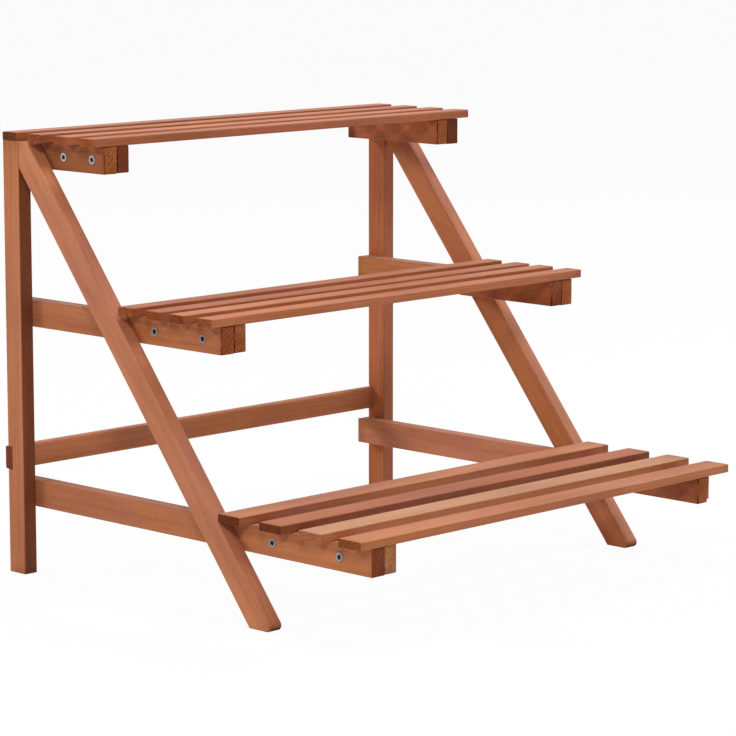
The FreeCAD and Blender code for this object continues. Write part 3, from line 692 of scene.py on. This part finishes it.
def make_screws_tree():
    """Screws at their places: a lathed head and shank with a cross cut into the head."""
    tree, given = tree_with("drive_screws", (
        ("Head", "NodeSocketFloat"), ("Shank", "NodeSocketFloat"), ("Length", "NodeSocketFloat"),
        ("Recess", "NodeSocketFloat"), ("Seed", "NodeSocketInt")))

    measure = partial(work_out, tree)

    def at_height(geometry, height):
        up = add_node(tree, "ShaderNodeCombineXYZ", {2: height}).outputs[0]
        return add_node(tree, "GeometryNodeTransform",
                        {"Geometry": geometry, "Translation": up}).outputs[0]

    taper = measure("SUBTRACT", given["Head"], given["Shank"])
    head = add_node(tree, "GeometryNodeMeshCone",
                    {"Vertices": 32, "Radius Top": given["Head"], "Radius Bottom": given["Shank"],
                     "Depth": taper}).outputs[0]
    head = at_height(head, measure("MULTIPLY", taper, -1.0))
    rim = add_node(tree, "GeometryNodeMeshCylinder",
                   {"Vertices": 32, "Radius": given["Head"], "Depth": RIM_DEPTH}).outputs[0]
    # sunk a hair below half its depth, so that it overlaps the cone
    rim = at_height(rim, RIM_DEPTH / 2 - 0.00001)
    shank = add_node(tree, "GeometryNodeMeshCylinder",
                     {"Vertices": 32, "Radius": given["Shank"], "Depth": given["Length"]}).outputs[0]
    shank = at_height(shank, measure("MULTIPLY", given["Length"], -0.5))
    bars = []
    for spans in ((given["Recess"], RECESS_WIDTH), (RECESS_WIDTH, given["Recess"])):
        box = add_node(tree, "ShaderNodeCombineXYZ",
                       {0: spans[0], 1: spans[1], 2: 2 * RECESS_DEPTH}).outputs[0]
        bars.append(add_node(tree, "GeometryNodeMeshCube", {"Size": box}).outputs[0])
    body = add_node(tree, "GeometryNodeMeshBoolean", operation="UNION", solver="EXACT")
    for part in (shank, head, rim):
        tree.links.new(part, body.inputs["Mesh 2"])
    cross = add_node(tree, "GeometryNodeMeshBoolean", {"Mesh 1": body.outputs[0]},
                     operation="DIFFERENCE", solver="EXACT")
    for bar in bars:
        tree.links.new(bar, cross.inputs["Mesh 2"])

    here = add_node(tree, "GeometryNodeInputPosition").outputs[0]
    marked = add_node(tree, "GeometryNodeStoreNamedAttribute",
                      {"Geometry": cross.outputs[0], "Name": "turned", "Value": here},
                      data_type="FLOAT_VECTOR", domain="POINT")

    # the head faces along the place's own direction, turned at random about it
    outward = add_node(tree, "GeometryNodeInputNamedAttribute", {"Name": "outward"},
                       data_type="FLOAT_VECTOR").outputs[0]
    facing = add_node(tree, "FunctionNodeAlignRotationToVector", {"Vector": outward}, axis="Z")
    spin = add_node(tree, "FunctionNodeRandomValue",
                    {2: 0.0, 3: math.pi, "Seed": given["Seed"]}, data_type="FLOAT").outputs[1]
    spin = add_node(tree, "ShaderNodeCombineXYZ", {2: spin}).outputs[0]
    facing = add_node(tree, "FunctionNodeRotateRotation",
                      {0: facing.outputs[0], 1: spin}, rotation_space="LOCAL")
    driven = add_node(tree, "GeometryNodeInstanceOnPoints",
                      {"Points": given["Places"], "Instance": marked.outputs[0],
                       "Rotation": facing.outputs[0]}).outputs[0]
    driven = add_node(tree, "GeometryNodeRealizeInstances", {0: driven}).outputs[0]
    driven = add_node(tree, "GeometryNodeSetMaterial",
                      {"Geometry": driven, "Material": given["Finish"]}).outputs[0]
    add_node(tree, "NodeGroupOutput", {0: driven})
    return tree


stations = [(place, Vector((-1, 0, 0) if side == "left" else (1, 0, 0)), amount)
            for tier in SCREWS for side in ("left", "right")
            for place, amount in zip(screw_places(tier, side), CLEAN[tier])]
places, outward, amounts = zip(*stations)
screws = run_tree("shelf_screws", make_screws_tree(), places,
                  {"outward": outward, "clean": amounts}, {
                      "Head": HEAD_RADIUS, "Shank": SHANK_RADIUS, "Length": SCREW_LENGTH,
                      "Recess": RECESS_SPAN, "Seed": 3, "Finish": steel,
                  })
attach(screws, "root")
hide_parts(*(f"shelf_screws_{tier}" for tier in SCREWS))

# ------------------------------------------------------------------ nails
# Fine headless nails hold the slats, the side rails and the back rail. They are driven
# all but flush and stained over, so only small dull dots show.

dot = bpy.data.materials.new("stained_nail")
dot.use_nodes = True
tree = dot.node_tree
shader = tree.nodes["Principled BSDF"]
where = add_node(tree, "ShaderNodeTexCoord").outputs["Object"]
rub = add_node(tree, "ShaderNodeTexNoise", {"Vector": where, "Scale": 1400.0, "Detail": 2.0})
tone = add_ramp(tree, rub.outputs[0], ((0.3, stain_of(118, 70, 50)), (0.7, stain_of(160, 104, 80))))
tree.links.new(tone, shader.inputs["Base Color"])
shader.inputs["Roughness"].default_value = 0.6


def make_nails_tree():
    """Round nails at their places, each standing a hair proud."""
    tree, given = tree_with("punch_nails", (
        ("Width", "NodeSocketFloat"), ("Length", "NodeSocketFloat"),
        ("Proud", "NodeSocketFloat")))
    half = work_out(tree, "MULTIPLY", given["Length"], -0.5)
    radius = work_out(tree, "MULTIPLY", given["Width"], 0.6)
    pin = add_node(tree, "GeometryNodeMeshCylinder",
                   {"Vertices": 8, "Radius": radius, "Depth": given["Length"]}).outputs[0]
    down = add_node(tree, "ShaderNodeCombineXYZ", {2: half}).outputs[0]
    pin = add_node(tree, "GeometryNodeTransform", {"Geometry": pin, "Translation": down}).outputs[0]
    outward = add_node(tree, "GeometryNodeInputNamedAttribute", {"Name": "outward"},
                       data_type="FLOAT_VECTOR").outputs[0]
    lift = add_node(tree, "ShaderNodeVectorMath", {0: outward, "Scale": given["Proud"]},
                    operation="SCALE").outputs[0]
    raised = add_node(tree, "GeometryNodeSetPosition",
                      {"Geometry": given["Places"], "Offset": lift}).outputs[0]
    facing = add_node(tree, "FunctionNodeAlignRotationToVector", {"Vector": outward}, axis="Z")
    punched = add_node(tree, "GeometryNodeInstanceOnPoints",
                       {"Points": raised, "Instance": pin,
                        "Rotation": facing.outputs[0]}).outputs[0]
    punched = add_node(tree, "GeometryNodeRealizeInstances", {0: punched}).outputs[0]
    punched = add_node(tree, "GeometryNodeSetMaterial",
                       {"Geometry": punched, "Material": given["Finish"]}).outputs[0]
    add_node(tree, "NodeGroupOutput", {0: punched})
    return tree


def middle_of(node, axis):
    """The middle of a node's box along an axis, 0 to 2."""
    low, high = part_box(node)
    return (low[axis] + high[axis]) / 2


nails_tree = make_nails_tree()
NAIL_WIDTH = 0.0012
NAIL_PROUD = 0.00004
SLAT_NAIL = 0.0145
FRAME_NAIL = 0.025
BACK_NAIL = 0.0205
FRAME_NAIL_SPREAD = 0.006
BACK_NAIL_SPREAD = 0.005


def punch_nails(name, length, stations, nodes):
    """Punches nails in at stations, each a place and the way its head faces."""
    places, outward = zip(*stations)
    nails = run_tree(name, nails_tree, places, {"outward": outward}, {
        "Width": NAIL_WIDTH, "Length": length, "Proud": NAIL_PROUD, "Finish": dot})
    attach(nails, "root")
    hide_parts(*nodes)


punch_nails("slat_nails", SLAT_NAIL, [
    (Vector((middle_of(f"bearer_{tier}_{side}", 0), middle_of(f"slat_{tier}_{number}", 1),
             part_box(f"slat_{tier}_{number}")[1].z)), Vector((0, 0, 1)))
    for tier in SCREWS for side in ("left", "right") for number in (1, 2, 3, 4)
], [f"slat_nails_{tier}" for tier in SCREWS])

stations = []
for tier in SCREWS:
    for side, inward in (("left", 1), ("right", -1)):
        low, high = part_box(f"rail_{tier}_{side}")
        inner = high.x if side == "left" else low.x
        for level in (middle_of(f"rail_{tier}_{side}", 2) + step * FRAME_NAIL_SPREAD
                      for step in (-1, 1)):
            leg_middle = foot + slope * level + LEG_WIDTH / 2
            for y in (middle_of(f"post_{side}", 1), leg_middle):
                stations.append((Vector((inner, y, level)), Vector((inward, 0, 0))))
punch_nails("frame_nails", FRAME_NAIL, stations, ["frame_nails_left", "frame_nails_right"])

punch_nails("back_rail_nails", BACK_NAIL, [
    (Vector((middle_of(f"post_{side}", 0), HOUSING[1].y,
             middle_of("back_rail", 2) + step * BACK_NAIL_SPREAD)), Vector((0, 1, 0)))
    for side in ("left", "right") for step in (-1, 1)
], ["back_rail_nails"])

# ------------------------------------------------------------------ floor, light and camera
# A plain white sweep under soft studio light: broad lamps overhead, to the left and to
# the right, and an even white surround.

FLOOR_REACH = 60
FLOOR_WHITE = 0.95
SURROUND_FILL = 0.22


def looked_at(tree):
    """1 for rays that the camera sees, straight, in gloss or through glass, and 0 for light."""
    rays = add_node(tree, "ShaderNodeLightPath").outputs
    seen = work_out(tree, "MAXIMUM", rays["Is Camera Ray"], rays["Is Glossy Ray"])
    return work_out(tree, "MAXIMUM", seen, rays["Is Transmission Ray"])


floor_mesh = bpy.data.meshes.new("floor")
floor_mesh.from_pydata([(x * FLOOR_REACH, y * FLOOR_REACH, 0)
                        for x, y in ((-1, -1), (1, -1), (1, 1), (-1, 1))], [], [(0, 1, 2, 3)])
floor = bpy.data.objects.new("floor", floor_mesh)
bpy.context.scene.collection.objects.link(floor)
paper = bpy.data.materials.new("white_paper")
paper.use_nodes = True
tree = paper.node_tree
shader = tree.nodes["Principled BSDF"]
shader.inputs["Base Color"].default_value = (0.80, 0.80, 0.80, 1.0)
shader.inputs["Roughness"].default_value = 0.9
shader.inputs["Specular IOR Level"].default_value = 0.1
share = work_out(tree, "MULTIPLY", looked_at(tree), FLOOR_WHITE)
white = add_node(tree, "ShaderNodeEmission", {"Color": (1, 1, 1, 1), "Strength": 1.0})
mixed = add_node(tree, "ShaderNodeMixShader",
                 {0: share, 1: shader.outputs[0], 2: white.outputs[0]})
tree.links.new(mixed.outputs[0], tree.nodes["Material Output"].inputs["Surface"])
floor_mesh.materials.append(paper)

world = bpy.data.worlds.new("surround")
world.use_nodes = True
tree = world.node_tree
level = add_node(tree, "ShaderNodeMapRange", {0: looked_at(tree), 3: SURROUND_FILL}).outputs[0]
tree.links.new(level, tree.nodes["Background"].inputs["Strength"])
tree.nodes["Background"].inputs["Color"].default_value = (1, 1, 1, 1)
bpy.context.scene.world = world

# lamps by name, place, width and watts, each turned to the middle of the stand
MIDDLE = Vector((0, 0, 0.2))
for name, place, size, power in (("overhead_lamp", (0, 0, 3.4), 1.2, 57.0),
                                 ("left_rear_lamp", (-2.4, 2.2, 1.8), 0.9, 45.0),
                                 ("left_front_lamp", (-2.3, -2.3, 2.4), 0.7, 45.0),
                                 ("right_lamp", (3.0, -0.8, 1.8), 1.2, 52.0)):
    lamp = bpy.data.lights.new(name, "AREA")
    lamp.shape = "DISK"
    lamp.size = size
    lamp.energy = power
    holder = bpy.data.objects.new(name, lamp)
    holder.location = place
    holder.rotation_euler = (MIDDLE - Vector(place)).to_track_quat("-Z", "Y").to_euler()
    bpy.context.scene.collection.objects.link(holder)

lens = bpy.data.cameras.new("camera")
lens.sensor_width = 36.0
lens.lens = 155.32
lens.clip_start = 0.05
lens.clip_end = 200.0
camera = bpy.data.objects.new("camera", lens)
camera.location = (-2.03207, -1.98353, 0.63049)
camera.rotation_euler = (math.radians(90 - 8.930), 0, math.radians(-45.674))
bpy.context.scene.collection.objects.link(camera)
bpy.context.scene.camera = camera
bpy.context.scene.view_settings.view_transform = "Standard"
